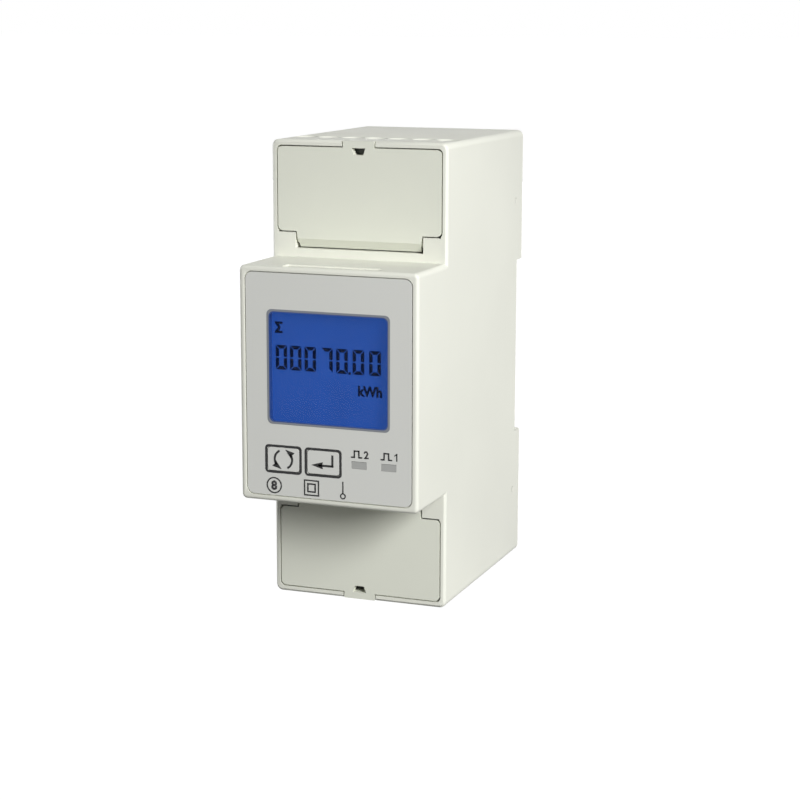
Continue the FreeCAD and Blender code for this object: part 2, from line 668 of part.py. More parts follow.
def chamber_cuts(clamp, x, z):
    """The screw well, the hole in the web and the cage's chamber of one pole."""
    axis = clamp.axis
    wide = clamp.head + FIT
    depth = (FACE - BEYOND, clamp.web_front)
    if clamp.small:
        well = deep(centred(x, axis, 2 * wide, 2 * wide), *depth)
    else:
        well = rod(wide, v(x, depth[0], axis), v(x, depth[1], axis))
    side = 2 * (clamp.shank + FIT)
    web_hole = deep(centred(x, axis, side, side), clamp.web_front, clamp.web_rear + EMBED)
    half = clamp.chamber / 2
    return [well, web_hole, box((x - half, x + half), (clamp.web_rear, clamp.chamber_rear), z)]


def cage(clamp, x):
    """Square clamp round the busbar, fully open, with the screw's hole in its front wall."""
    outer = box((x - clamp.cage_half, x + clamp.cage_half), (clamp.cage_y, clamp.cage_end),
                (clamp.low, clamp.high))
    inside = clamp.cage_y + clamp.cage_front
    room = box((x - clamp.throat_half, x + clamp.throat_half), (inside, clamp.room_rear),
               (clamp.low - BEYOND, clamp.high + BEYOND))
    side = 2 * (clamp.shank + SLIP)
    thread = deep(centred(x, clamp.axis, side, side), clamp.cage_y - BEYOND, inside + EMBED)
    return outer.cut([room, thread])


def screw(clamp, x):
    """Clamp screw: flat slotted head in its well, and a shank up to the busbar."""
    axis = clamp.axis
    head = rod(clamp.head, v(x, clamp.head_front, axis), v(x, clamp.head_rear, axis))
    shank = rod(clamp.shank, v(x, clamp.head_rear - EMBED, axis), v(x, clamp.bar_front - SLIP, axis))
    slot = deep(centred(x, axis, 2 * clamp.drive_reach, clamp.drive),
                clamp.head_front - BEYOND, clamp.head_front + clamp.drive_depth)
    return joined(head, shank).cut(slot)


def aux_pins():
    """Seven bent contacts: up into the cages, back to the power board."""
    pins = []
    for x in AUX.poles():
        blade = box((x - AUX_PIN, x + AUX_PIN), (AUX.bar_front, AUX.bar_rear), (AUX_PIN_LOW, AUX.high))
        leg = box((x - AUX_PIN / 2, x + AUX_PIN / 2), (AUX.bar_front, POWER_REAR + AUX_PIN),
                  (AUX_PIN_LOW, AUX_PIN_LOW + AUX_PIN))
        pins.append(joined(blade, leg))
    return Part.Compound(pins)


def busbar(x):
    """Copper strip from a main cage up to the shunt, with a narrow sense tab on the board."""
    y = (MAIN.bar_front, MAIN.bar_rear)
    strip = box((x - MAIN.bar_half, x + MAIN.bar_half), y, (MAIN.low, BAR_TOP))
    tab = box((x - SENSE_TAB / 2, x + SENSE_TAB / 2), y, (BAR_TOP - EMBED, BAR_TOP + SENSE_RISE))
    return [strip, tab]


def bridge(x_low, x_high):
    """A plate between two busbars, level with their upper ends."""
    return box((x_low + MAIN.bar_half, x_high - MAIN.bar_half), (MAIN.bar_front, MAIN.bar_rear),
               (BAR_TOP - SHUNT_HEIGHT, BAR_TOP))


def power_board():
    """Circuit board behind the busbars, with holes for the aux contacts."""
    board = box((-BOARD_HALF, BOARD_HALF), (POWER_FRONT, POWER_REAR), (POWER_LOW, POWER_HIGH))
    side = AUX_PIN + 2 * SLIP
    through = (POWER_FRONT - BEYOND, POWER_REAR + BEYOND)
    holes = [deep(centred(x, AUX_PIN_LOW + AUX_PIN / 2, side, side), *through) for x in AUX.poles()]
    return board.cut(holes)


def display_board():
    height = NOSE_HEIGHT - 2 * (WALL + FIT)
    return deep(centred(0, MID, 2 * (INNER - FIT), height), DISPLAY_BOARD, DISPLAY_BOARD + BOARD)


def faceplate():
    """Printed overlay in the nose's recess, cut out for window, keys and pulse lights."""
    plate = deep(centred(0, MID, PLATE_WIDTH, PLATE_HEIGHT, PLATE_CORNER), FRONT + PLATE_SINK, PLATE_FLOOR)
    cuts = [hole(0, WINDOW_Z, WINDOW_WIDTH + 2 * SLIP, WINDOW_HEIGHT + 2 * SLIP, WINDOW_CORNER + SLIP)]
    for x in KEY_X:
        cuts.append(hole(x, KEY_Z, KEY_WIDTH + 2 * KEY_GAP, KEY_HEIGHT + 2 * KEY_GAP, KEY_CORNER + KEY_GAP))
    for x in PULSE_X:
        cuts.append(hole(x, PULSE_Z, PULSE_WIDTH + 2 * SLIP, PULSE_HEIGHT + 2 * SLIP))
    return plate.cut(cuts)


def display_window():
    return deep(centred(0, WINDOW_Z, WINDOW_WIDTH, WINDOW_HEIGHT, WINDOW_CORNER),
                FRONT + PLATE_SINK, NOSE_INSIDE - SLIP)


def lcd_size(margin):
    return WINDOW_WIDTH + 2 * margin, WINDOW_HEIGHT + 2 * margin


def lcd_panel():
    """Display glass: a rear sheet and a slightly lower front sheet, as one bonded piece."""
    width, height = lcd_size(GLASS_MARGIN)
    face = NOSE_INSIDE + SLIP
    middle = face + GLASS_THICK / 2
    rear = deep(centred(0, WINDOW_Z, width, height), middle, face + GLASS_THICK)
    front = deep(centred(0, WINDOW_Z, width, height - GLASS_MARGIN), face, middle)
    return joined(rear, front)


def lcd_backlight():
    """Light guide between the glass and the board, with its edge light at one side."""
    width, height = lcd_size(GLASS_MARGIN)
    return deep(centred(0, WINDOW_Z, width, height - 2 * STRIP - 2 * FIT),
                NOSE_INSIDE + 2 * SLIP + GLASS_THICK, DISPLAY_BOARD - SLIP)


def lcd_strips():
    """Two rubber contact strips from the glass's edges to the board."""
    width, height = lcd_size(GLASS_MARGIN)
    strips = [deep(centred(0, WINDOW_Z + side * (height - STRIP) / 2, width, STRIP),
                   NOSE_INSIDE + SLIP + GLASS_THICK, DISPLAY_BOARD) for side in (-1, 1)]
    return Part.Compound(strips)


def lcd_frame():
    """Open frame round glass and light guide, standing on the display board."""
    width, height = lcd_size(GLASS_MARGIN + FIT)
    outer = deep(centred(0, WINDOW_Z, width + 2 * LCD_RIM, height + 2 * LCD_RIM),
                 NOSE_INSIDE + SLIP, DISPLAY_BOARD)
    return outer.cut(deep(centred(0, WINDOW_Z, width, height), NOSE_INSIDE, DISPLAY_BOARD + BEYOND))


def key(x):
    """Key cap through the faceplate, flange behind the nose's wall, stem to the switch."""
    behind = NOSE_INSIDE + FIT
    cap = deep(centred(x, KEY_Z, KEY_WIDTH, KEY_HEIGHT, KEY_CORNER), FRONT + PLATE_SINK, behind + EMBED)
    flange = deep(centred(x, KEY_Z, KEY_WIDTH + 2 * KEY_FLANGE, KEY_HEIGHT + 2 * KEY_FLANGE),
                  behind, behind + KEY_FLANGE_THICK)
    stem = deep(centred(x, KEY_Z, KEY_STEM, KEY_STEM), behind, SWITCH_TIP - KEY_TRAVEL - SLIP)
    return joined(cap, flange, stem)


def tact_switch(x):
    """Low switch on the display board, with a square actuator under the key's stem."""
    top = DISPLAY_BOARD - SWITCH_BODY
    body = deep(centred(x, KEY_Z, SWITCH, SWITCH), top, DISPLAY_BOARD)
    side = 2 * SWITCH_ACTUATOR
    return joined(body, deep(centred(x, KEY_Z, side, side), SWITCH_TIP, top + EMBED))


def pulse_light(x):
    """Clear light pipe from the faceplate back to its light."""
    return deep(centred(x, PULSE_Z, PULSE_WIDTH, PULSE_HEIGHT), FRONT + PLATE_SINK,
                DISPLAY_BOARD - LED[2] - SLIP)


def on_board(size, x, z, board, side):
    """A block of a component's size on a board's front (side -1) or rear (side +1)."""
    width, height, thick = size
    return deep(centred(x, z, width, height), *sorted((board, board + side * thick)))


def pulse_leds():
    return Part.Compound([on_board(LED, x, PULSE_Z, DISPLAY_BOARD, -1) for x in PULSE_X])


def board_header():
    """Row of pins between the two boards, with a strip of plastic at each end."""
    rear = DISPLAY_BOARD + BOARD
    half = HEADER_PINS * HEADER_PITCH / 2
    z = (HEADER_Z - HEADER_STRIP / 2, HEADER_Z + HEADER_STRIP / 2)
    strips = [box((-half, half), y, z)
              for y in ((rear, rear + HEADER_STRIP), (POWER_FRONT - HEADER_STRIP, POWER_FRONT))]
    pins = [deep(centred((i - (HEADER_PINS - 1) / 2) * HEADER_PITCH, HEADER_Z, HEADER_PIN, HEADER_PIN),
                 rear, POWER_FRONT) for i in range(HEADER_PINS)]
    return joined(*strips, *pins)


def board_parts():
    """The components on both boards, by name."""
    width, height, _ = FILM_CAPACITOR
    left = -BOARD_HALF + PART_SIDE
    film_z = POWER_LOW + PILLAR_INSET + PILLAR / 2 + PART_GAP + height / 2
    core_z = film_z + height / 2 + PART_GAP + TRANSFORMER_CORE[1] / 2
    can_x = BOARD_HALF - PART_SIDE - CAN_RADIUS
    chip_low = BAR_TOP + SENSE_RISE + PART_GAP
    opto_x = left + TRANSFORMER_CORE[0] + PART_GAP + OPTOCOUPLER[0] / 2
    optos = [on_board(OPTOCOUPLER, opto_x + i * (OPTOCOUPLER[0] + PART_GAP), core_z, POWER_REAR, 1)
             for i in range(2)]
    transceiver_z = HEADER_Z - HEADER_STRIP / 2 - PART_GAP - TRANSCEIVER[1] / 2
    return {
        "film_capacitor": on_board(FILM_CAPACITOR, left + width / 2, film_z, POWER_REAR, 1),
        "smoothing_capacitor": rod(CAN_RADIUS, v(can_x, POWER_REAR, MID),
                                   v(can_x, BASE_SEAT - BASE_WALL - CAN_CLEAR, MID)),
        "varistor": varistor(can_x, MID - CAN_RADIUS - PART_GAP - VARISTOR_RADIUS),
        "supply_transformer": supply_transformer(left + TRANSFORMER_CORE[0] / 2, core_z),
        "optocouplers": Part.Compound(optos),
        "processor": on_board(PROCESSOR, 0, MID, DISPLAY_BOARD + BOARD, 1),
        "metering_chip": on_board(METERING_CHIP, 0, chip_low + METERING_CHIP[1] / 2, POWER_FRONT, -1),
        "data_transceiver": on_board(TRANSCEIVER, MAIN_PITCH, transceiver_z, POWER_FRONT, -1),
    }


def varistor(x, z):
    """Coated disc held off the board by its two wires."""
    start = POWER_REAR + VARISTOR_LIFT
    disc = rod(VARISTOR_RADIUS, v(x, start, z), v(x, start + VARISTOR_THICK, z))
    legs = [deep(centred(x + side * VARISTOR_LEGS / 2, z, VARISTOR_LEG, VARISTOR_LEG),
                 POWER_REAR, start + EMBED) for side in (-1, 1)]
    return joined(disc, *legs)


def supply_transformer(x, z):
    """Small ferrite core round a wound bobbin that stands on the board."""
    bobbin = on_board(TRANSFORMER_BOBBIN, x, z, POWER_REAR, 1)
    lift = (TRANSFORMER_BOBBIN[2] - TRANSFORMER_CORE[2]) / 2
    return joined(bobbin, on_board(TRANSFORMER_CORE, x, z, POWER_REAR + lift, 1))


def nodes():
    """Every piece by name."""
    pieces = {
        "front_housing": housing(),
        "rear_base": rear_base(),
        "upper_cover": cover(),
        "lower_cover": flipped(cover()),
        "faceplate": faceplate(),
        "display_window": display_window(),
        "lcd_panel": lcd_panel(),
        "lcd_backlight": lcd_backlight(),
        "lcd_frame": lcd_frame(),
        "lcd_contact_strips": lcd_strips(),
        "scroll_key": key(KEY_X[0]),
        "enter_key": key(KEY_X[1]),
        "scroll_switch": tact_switch(KEY_X[0]),
        "enter_switch": tact_switch(KEY_X[1]),
        "pulse_light_1": pulse_light(PULSE_X[1]),
        "pulse_light_2": pulse_light(PULSE_X[0]),
        "pulse_leds": pulse_leds(),
        "display_board": display_board(),
        "board_header": board_header(),
        "power_board": power_board(),
        "terminal_block": terminal_block(),
        "terminal_carrier": terminal_carrier(),
        "aux_contacts": aux_pins(),
        "rail_latch": rail_latch(),
        "latch_spring": latch_spring(),
    }
    pieces.update(board_parts())
    line_in, line_out, neutral_in, neutral_out = MAIN.poles()
    pieces["line_in_bar"] = joined(*busbar(line_in))
    pieces["line_out_bar"] = joined(*busbar(line_out))
    pieces["shunt"] = bridge(line_in, line_out)
    pieces["neutral_bar"] = joined(*busbar(neutral_in), *busbar(neutral_out),
                                   bridge(neutral_in, neutral_out))
    for kind, clamp in (("main", MAIN), ("aux", AUX)):
        for i, x in enumerate(clamp.poles(), 1):
            pieces[f"{kind}_screw_{i}"] = screw(clamp, x)
            pieces[f"{kind}_cage_{i}"] = cage(clamp, x)
    return pieces


def main():
    os.makedirs("parts", exist_ok=True)
    for name, shape in nodes().items():
        print(f"{name}: {len(shape.Solids)} solid(s), {shape.Volume:.1f} mm3, valid {shape.isValid()}")
        shape.exportStep(f"parts/{name}.step")


main()
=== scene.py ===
# %% [markdown]
# # A rail-mounted energy meter
# The object is a slim electricity meter for a distribution board: a light grey moulded housing with a
# raised nose, a printed faceplate with a lit display, and a hinged cover over each row of terminals.
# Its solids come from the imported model, so this script only gives them their surfaces, rounds the
# mouldings' edges and adds what is printed or shown on the front.

# %% Load the frame
import bmesh
import bpy
import json
import math
from mathutils import Matrix, Vector


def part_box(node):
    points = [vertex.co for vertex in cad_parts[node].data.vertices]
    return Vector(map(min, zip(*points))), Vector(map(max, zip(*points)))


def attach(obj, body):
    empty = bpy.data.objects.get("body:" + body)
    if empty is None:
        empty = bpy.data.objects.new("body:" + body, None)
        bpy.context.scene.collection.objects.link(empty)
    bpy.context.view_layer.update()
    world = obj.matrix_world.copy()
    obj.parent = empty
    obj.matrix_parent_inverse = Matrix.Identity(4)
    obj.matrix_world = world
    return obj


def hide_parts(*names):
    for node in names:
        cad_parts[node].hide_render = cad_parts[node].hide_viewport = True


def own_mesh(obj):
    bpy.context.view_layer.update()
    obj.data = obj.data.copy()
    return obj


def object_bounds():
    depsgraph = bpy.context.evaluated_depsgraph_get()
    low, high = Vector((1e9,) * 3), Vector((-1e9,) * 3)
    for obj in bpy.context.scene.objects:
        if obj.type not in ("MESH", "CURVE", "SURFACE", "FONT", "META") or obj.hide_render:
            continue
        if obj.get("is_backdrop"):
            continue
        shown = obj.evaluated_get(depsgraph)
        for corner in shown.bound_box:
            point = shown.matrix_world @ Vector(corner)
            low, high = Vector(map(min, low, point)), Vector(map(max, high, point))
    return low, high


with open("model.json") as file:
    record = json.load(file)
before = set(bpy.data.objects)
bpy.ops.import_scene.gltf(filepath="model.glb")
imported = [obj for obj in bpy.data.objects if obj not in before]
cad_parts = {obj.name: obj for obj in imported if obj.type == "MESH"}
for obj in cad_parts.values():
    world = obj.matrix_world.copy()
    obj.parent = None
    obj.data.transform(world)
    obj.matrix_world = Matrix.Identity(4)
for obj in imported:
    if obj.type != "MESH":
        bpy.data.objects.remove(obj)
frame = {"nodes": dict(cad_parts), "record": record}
cad_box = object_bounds()
nodes = frame["nodes"]
slot_of = {part["node"]: part["material_slot"] for part in frame["record"]["subparts"]}
MM = 0.001
print(len(nodes), "solids, box in mm:", [[round(c / MM, 2) for c in corner] for corner in cad_box])

# %% [markdown]
# ## Shader groups
# A moulded plastic is never quite flat in tone: the mould's fine spark-eroded texture breaks the
# highlight up, and the colour drifts a little over a few centimetres. Both could be painted on, but a
# noise pattern on Object coordinates needs no image and has the same scale on every piece, so it is
# built once as a group. It takes a colour and gives a colour, a roughness and a height.


# %% Helpers for node trees
def linear(colour):
    """Screen values from 0 to 255 as the linear numbers that a shader takes."""
    shares = [c / 255 for c in colour]
    return tuple(c / 12.92 if c <= 0.04045 else ((c + 0.055) / 1.055) ** 2.4 for c in shares) + (1.0,)


def new_group(name, inputs, outputs):
    """An empty shader group with named inputs (kind, value) and outputs (kind)."""
    tree = bpy.data.node_groups.new(name, "ShaderNodeTree")
    for label, (kind, value) in inputs.items():
        socket = tree.interface.new_socket(label, in_out="INPUT", socket_type="NodeSocket" + kind)
        if value is not None:
            socket.default_value = value
    for label, kind in outputs.items():
        tree.interface.new_socket(label, in_out="OUTPUT", socket_type="NodeSocket" + kind)
    return tree, tree.nodes.new("NodeGroupInput"), tree.nodes.new("NodeGroupOutput")


def noise(tree, vector, scale, detail=2.0, roughness=0.5):
    """A noise pattern whose scale is a number or a socket."""
    node = tree.nodes.new("ShaderNodeTexNoise")
    node.inputs["Detail"].default_value = detail
    node.inputs["Roughness"].default_value = roughness
    tree.links.new(vector, node.inputs["Vector"])
    if isinstance(scale, float):
        node.inputs["Scale"].default_value = scale
    else:
        tree.links.new(scale, node.inputs["Scale"])
    return node.outputs["Fac"]


def remap(tree, value, low, high, start=0.0, end=1.0):
    """A value stretched from start..end to low..high, whose ends are numbers or sockets."""
    node = tree.nodes.new("ShaderNodeMapRange")
    tree.links.new(value, node.inputs["Value"])
    for label, item in (("From Min", start), ("From Max", end), ("To Min", low), ("To Max", high)):
        if isinstance(item, (int, float)):
            node.inputs[label].default_value = item
        else:
            tree.links.new(item, node.inputs[label])
    return node.outputs["Result"]


def math_node(tree, operation, a, b=0.0):
    """A sum or the like of two values, which are numbers or sockets."""
    node = tree.nodes.new("ShaderNodeMath")
    node.operation = operation
    for i, item in enumerate((a, b)):
        if isinstance(item, (int, float)):
            node.inputs[i].default_value = item
        else:
            tree.links.new(item, node.inputs[i])
    return node.outputs[0]


def shaded(tree, colour, factor):
    """A colour made darker by a factor, which is a number or changes over the surface."""
    node = tree.nodes.new("ShaderNodeMix")
    node.data_type = "RGBA"
    node.blend_type = "MULTIPLY"
    node.inputs["Factor"].default_value = 1.0
    tree.links.new(colour, node.inputs["A"])
    if isinstance(factor, float):
        node.inputs["B"].default_value = (factor, factor, factor, 1)
    else:
        tree.links.new(factor, node.inputs["B"])
    return node.outputs["Result"]


print("a mid grey of 128 on screen is", round(linear((128, 128, 128))[0], 3), "in linear light")


# %% The moulded skin
def moulded_skin():
    """Fine grain in the gloss and a slow drift in the colour."""
    tree, given, result = new_group(
        "moulded skin",
        {"Vector": ("Vector", None), "Color": ("Color", (0.8, 0.8, 0.8, 1)), "Grain": ("Float", 9000.0),
         "Rough": ("Float", 0.5), "Rough spread": ("Float", 0.08), "Drift": ("Float", 0.03)},
        {"Color": "Color", "Rough": "Float", "Height": "Float"})
    vector = given.outputs["Vector"]
    fine = noise(tree, vector, given.outputs["Grain"], 1.0)
    broad = noise(tree, vector, 45.0, 2.0)
    drift = given.outputs["Drift"]
    low = math_node(tree, "SUBTRACT", 1.0, drift)
    tone = remap(tree, broad, low, 1.0, 0.3, 0.7)
    tree.links.new(shaded(tree, given.outputs["Color"], tone), result.inputs["Color"])
    spread = math_node(tree, "ADD", given.outputs["Rough"], given.outputs["Rough spread"])
    tree.links.new(remap(tree, fine, given.outputs["Rough"], spread), result.inputs["Rough"])
    tree.links.new(fine, result.inputs["Height"])
    return tree


SKIN = moulded_skin()
print("group", SKIN.name, "with", len(SKIN.nodes), "nodes")

# %% [markdown]
# Rolled and stamped metal shows fine lines in one direction and a duller tone where it was handled.
# The lines are a noise pattern squeezed along one axis.


# %% The worked metal
def worked_metal():
    """Fine lines in the gloss and dull stains in the colour."""
    tree, given, result = new_group(
        "worked metal",
        {"Vector": ("Vector", None), "Color": ("Color", (0.7, 0.7, 0.7, 1)), "Rough": ("Float", 0.3),
         "Dull": ("Float", 0.2)},
        {"Color": "Color", "Rough": "Float", "Height": "Float"})
    squeeze = tree.nodes.new("ShaderNodeMapping")
    squeeze.inputs["Scale"].default_value = (9000, 900, 9000)
    tree.links.new(given.outputs["Vector"], squeeze.inputs["Vector"])
    lines = noise(tree, squeeze.outputs["Vector"], 1.0, 3.0)
    stains = noise(tree, given.outputs["Vector"], 600.0, 3.0, 0.6)
    dull = given.outputs["Dull"]
    tone = remap(tree, stains, math_node(tree, "SUBTRACT", 1.0, dull), 1.0, 0.35, 0.65)
    tree.links.new(shaded(tree, given.outputs["Color"], tone), result.inputs["Color"])
    worst = math_node(tree, "ADD", given.outputs["Rough"], dull)
    tree.links.new(remap(tree, lines, given.outputs["Rough"], worst, 0.3, 0.7), result.inputs["Rough"])
    tree.links.new(lines, result.inputs["Height"])
    return tree


METAL = worked_metal()
print("group", METAL.name, "with", len(METAL.nodes), "nodes")


# %% [markdown]
# ## Finishes
# Each finish is one material: a group's colour, roughness and height feed a Principled shader, and
# what is the same all over, such as metallic or coat, is set on the shader itself.


# %% Materials
def finish(name, group, colour, bump, values, constants):
    """A material from a shader group: bump is its relief in mm, and constants go to the shader."""
    material = bpy.data.materials.new(name)
    material.use_nodes = True
    tree = material.node_tree
    shader = tree.nodes["Principled BSDF"]
    place = tree.nodes.new("ShaderNodeTexCoord")
    skin = tree.nodes.new("ShaderNodeGroup")
    skin.node_tree = group
    skin.inputs["Color"].default_value = linear(colour)
    for label, value in values.items():
        skin.inputs[label].default_value = value
    relief = tree.nodes.new("ShaderNodeBump")
    relief.inputs["Strength"].default_value = 1.0
    relief.inputs["Distance"].default_value = bump * MM
    tree.links.new(place.outputs["Object"], skin.inputs["Vector"])
    tree.links.new(skin.outputs["Color"], shader.inputs["Base Color"])
    tree.links.new(skin.outputs["Rough"], shader.inputs["Roughness"])
    tree.links.new(skin.outputs["Height"], relief.inputs["Height"])
    tree.links.new(relief.outputs["Normal"], shader.inputs["Normal"])
    for label, value in constants.items():
        shader.inputs[label].default_value = value
    return material


def plastic(name, colour, rough, bump=0.004, grain=9000.0, drift=0.03):
    return finish(name, SKIN, colour, bump, {"Rough": rough, "Grain": grain, "Drift": drift}, {})


def metal(name, colour, rough):
    return finish(name, METAL, colour, 0.002, {"Rough": rough, "Dull": 0.2}, {"Metallic": 1.0})


SINK_MARKS = ((26.5, 75.7), (26.5, 14.3))
SINK_RADIUS = 0.65
SINK_DEPTH = 0.15


def moulded_marks(material):
    """The round sink marks at (y, z) in mm on both side walls, added to a material's relief."""
    tree = material.node_tree
    place = tree.nodes["Texture Coordinate"].outputs["Object"]
    apart = tree.nodes.new("ShaderNodeSeparateXYZ")
    tree.links.new(place, apart.inputs["Vector"])
    heights = []
    for y, z in SINK_MARKS:
        across = math_node(tree, "SUBTRACT", apart.outputs["Y"], y * MM)
        along = math_node(tree, "SUBTRACT", apart.outputs["Z"], z * MM)
        squares = [math_node(tree, "MULTIPLY", side, side) for side in (across, along)]
        reach = math_node(tree, "SQRT", math_node(tree, "ADD", *squares))
        heights.append(remap(tree, reach, 0.0, 1.0, SINK_RADIUS * 0.8 * MM, SINK_RADIUS * MM))
    lowest = math_node(tree, "MINIMUM", heights[0], heights[1])
    dent = tree.nodes.new("ShaderNodeBump")
    dent.inputs["Distance"].default_value = SINK_DEPTH * MM
    tree.links.new(lowest, dent.inputs["Height"])
    tree.links.new(dent.outputs["Normal"], tree.nodes["Bump"].inputs["Normal"])


FINISHES = {
    "housing": plastic("housing plastic", (229, 230, 219), 0.46),
    "cover": plastic("cover plastic", (224, 226, 213), 0.48),
    "base": plastic("base plastic", (214, 215, 204), 0.50),
    "plate": plastic("printed film", (214, 215, 210), 0.38, 0.0015, 5000.0, 0.015),
    "key": plastic("key film", (215, 216, 211), 0.38, 0.0015, 5000.0, 0.015),
    "switch": plastic("switch black", (30, 30, 31), 0.45),
    "pipe": plastic("frosted light pipe", (168, 169, 166), 0.35, 0.002, 6000.0, 0.02),
    "led": plastic("clear resin", (214, 150, 132), 0.2),
    "board": plastic("green solder resist", (20, 92, 48), 0.3, 0.01, 1500.0, 0.25),
    "chip": plastic("moulded black", (34, 34, 36), 0.55, 0.006, 12000.0),
    "capacitor": plastic("film capacitor yellow", (150, 138, 46), 0.4),
    "varistor": plastic("varistor blue", (44, 78, 150), 0.3, 0.01, 2500.0),
    "ferrite": plastic("ferrite and tape", (48, 47, 46), 0.6, 0.01, 4000.0),
    "rubber": plastic("contact rubber", (190, 148, 146), 0.75, 0.006),
    "insulator": plastic("insulator grey", (150, 152, 150), 0.55),
    "latch": plastic("latch plastic", (84, 86, 88), 0.5),
    "guide": plastic("lit guide", (96, 150, 232), 0.3),
    "steel": metal("zinc-plated steel", (196, 198, 200), 0.28),
    "brass": metal("dull brass", (196, 166, 98), 0.3),
    "copper": metal("tinned copper", (204, 150, 116), 0.28),
    "can": metal("aluminium can", (206, 208, 212), 0.35),
}
moulded_marks(FINISHES["housing"])
print(len(FINISHES), "finishes")

# %% [markdown]
# The display window is clear plastic. Glass could be given by transmission, but a thin flat window
# hardly bends the light, so a low alpha shows what lies behind it just as well and with far less
# noise. The display behind it is lit from inside: its light comes from an emission colour, so it looks
# lit in any studio, and a faint noise keeps the field uneven, as a real light guide does.


# %% Window and lit display
def clear_window():
    """A nearly clear, smooth film with a faint smear."""
    material = bpy.data.materials.new("clear window")
    material.use_nodes = True
    tree = material.node_tree
    shader = tree.nodes["Principled BSDF"]
    shader.inputs["Base Color"].default_value = (0.02, 0.05, 0.2, 1)
    place = tree.nodes.new("ShaderNodeTexCoord")
    smear = noise(tree, place.outputs["Object"], 260.0, 3.0)
    tree.links.new(remap(tree, smear, 0.05, 0.16, 0.3, 0.7), shader.inputs["Roughness"])
    tree.links.new(remap(tree, smear, 0.06, 0.1, 0.3, 0.7), shader.inputs["Alpha"])
    return material


PASSIVE = 0.3
GLOW = 0.88


def lit_display(name, colour, uneven):
    """A lit field, which also throws a share of the studio's light back."""
    material = bpy.data.materials.new(name)
    material.use_nodes = True
    tree = material.node_tree
    shader = tree.nodes["Principled BSDF"]
    shader.inputs["Roughness"].default_value = 0.6
    shader.inputs["Specular IOR Level"].default_value = 0.0
    shader.inputs["Emission Strength"].default_value = GLOW
    place = tree.nodes.new("ShaderNodeTexCoord")
    field = noise(tree, place.outputs["Object"], 90.0, 1.0)
    blend = tree.nodes.new("ShaderNodeMix")
    blend.data_type = "RGBA"
    blend.inputs["A"].default_value = linear([c * (1 - uneven) for c in colour])
    blend.inputs["B"].default_value = linear(colour)
    tree.links.new(remap(tree, field, 0.0, 1.0, 0.3, 0.7), blend.inputs["Factor"])
    tree.links.new(blend.outputs["Result"], shader.inputs["Emission Color"])
    tree.links.new(shaded(tree, blend.outputs["Result"], PASSIVE), shader.inputs["Base Color"])
    return material


FINISHES["window"] = clear_window()
FINISHES["lcd"] = lit_display("lit display", (40, 79, 161), 0.03)
SEGMENT = lit_display("display segment", (3, 7, 24), 0.1)
INK = plastic("black print", (7, 7, 8), 0.45, 0.0005, 5000.0, 0.05)
GREY_INK = plastic("grey print", (126, 130, 137), 0.4, 0.0005, 5000.0, 0.02)
DARK_BLUE = plastic("dark blue print", (36, 66, 128), 0.3, 0.0005, 5000.0, 0.02)
for node, obj in nodes.items():
    obj.data.materials.clear()
    obj.data.materials.append(FINISHES[slot_of[node]])
print("every solid has its finish")

# %% [markdown]
# ## Rounded mouldings
# No moulded edge is sharp, because the mould's own edges wear and are hard to fill. A narrow bevel on
# the housing, the covers and the base catches the light along each edge. The bevel could be cut in the
# solid, but it is finer than the solid's other shapes, so a copy gets it as a modifier: triangles are
# merged and dissolved into whole faces first, so that only true edges are left to round.


# %% Soften the housing, covers and base
def adopt(obj, body):
    """Let a piece ride on its body."""
    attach(obj, body)
    return obj


CREASE = 35
WELD = 0.002
SAME_PLANE = 0.5


def copied(node, name, body):
    """A copy of a solid, its triangles merged into whole faces, which stands in for it."""
    shape = bmesh.new()
    shape.from_mesh(nodes[node].data)
    bmesh.ops.remove_doubles(shape, verts=shape.verts, dist=WELD * MM)
    bmesh.ops.dissolve_limit(shape, angle_limit=math.radians(SAME_PLANE), verts=shape.verts,
                             edges=shape.edges)
    mesh = bpy.data.meshes.new(name)
    shape.to_mesh(mesh)
    shape.free()
    mesh.materials.append(FINISHES[slot_of[node]])
    obj = bpy.data.objects.new(name, mesh)
    bpy.context.scene.collection.objects.link(obj)
    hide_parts(node)
    return adopt(obj, body)


def softened(node, body, width):
    """A copy of a solid with its sharp edges rounded."""
    obj = copied(node, node + "_skin", body)
    obj.data.shade_smooth()
    obj.data.set_sharp_from_angle(angle=math.radians(CREASE))
    edge = obj.modifiers.new("soft edges", "BEVEL")
    edge.width = width * MM
    edge.segments = 2
    edge.limit_method = "ANGLE"
    edge.angle_limit = math.radians(CREASE)
    edge.use_clamp_overlap = True
    edge.harden_normals = True
    return obj


ROUNDED = {"front_housing": ("meter", 0.15), "upper_cover": ("upper_cover", 0.2),
           "lower_cover": ("lower_cover", 0.2), "rear_base": ("meter", 0.15),
           "rail_latch": ("rail_latch", 0.15), "faceplate": ("meter", 0.05),
           "scroll_key": ("scroll_key", 0.08), "enter_key": ("enter_key", 0.08)}
for node, (body, width) in ROUNDED.items():
    copy = softened(node, body, width)
    print(copy.name, len(copy.data.polygons), "faces before the bevel")

# %% [markdown]
# The latch's spring is one folded strip between the base and the latch. It shortens as the latch is
# pulled down; here a copy of it, with a mesh of its own, rides on the meter. Riding on either body, it
# would pass through the other.

# %% The latch's spring
spring = copied("latch_spring", "latch_spring_folds", "meter")
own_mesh(spring)

# %% [markdown]
# ## Print
# The faceplate's signs are ink, a few hundredths of a millimetre thick. Each is drawn flat around the
# origin, facing the front, and is then given a thickness and moved to its place. Lines are flat
# strips; arcs come from spinning the strip's end; rounded frames come from a bevelled and inset
# rectangle.


# %% Flat shapes
INK_THICK = 0.03
UPRIGHT = Matrix.Rotation(math.radians(90), 3, "X")


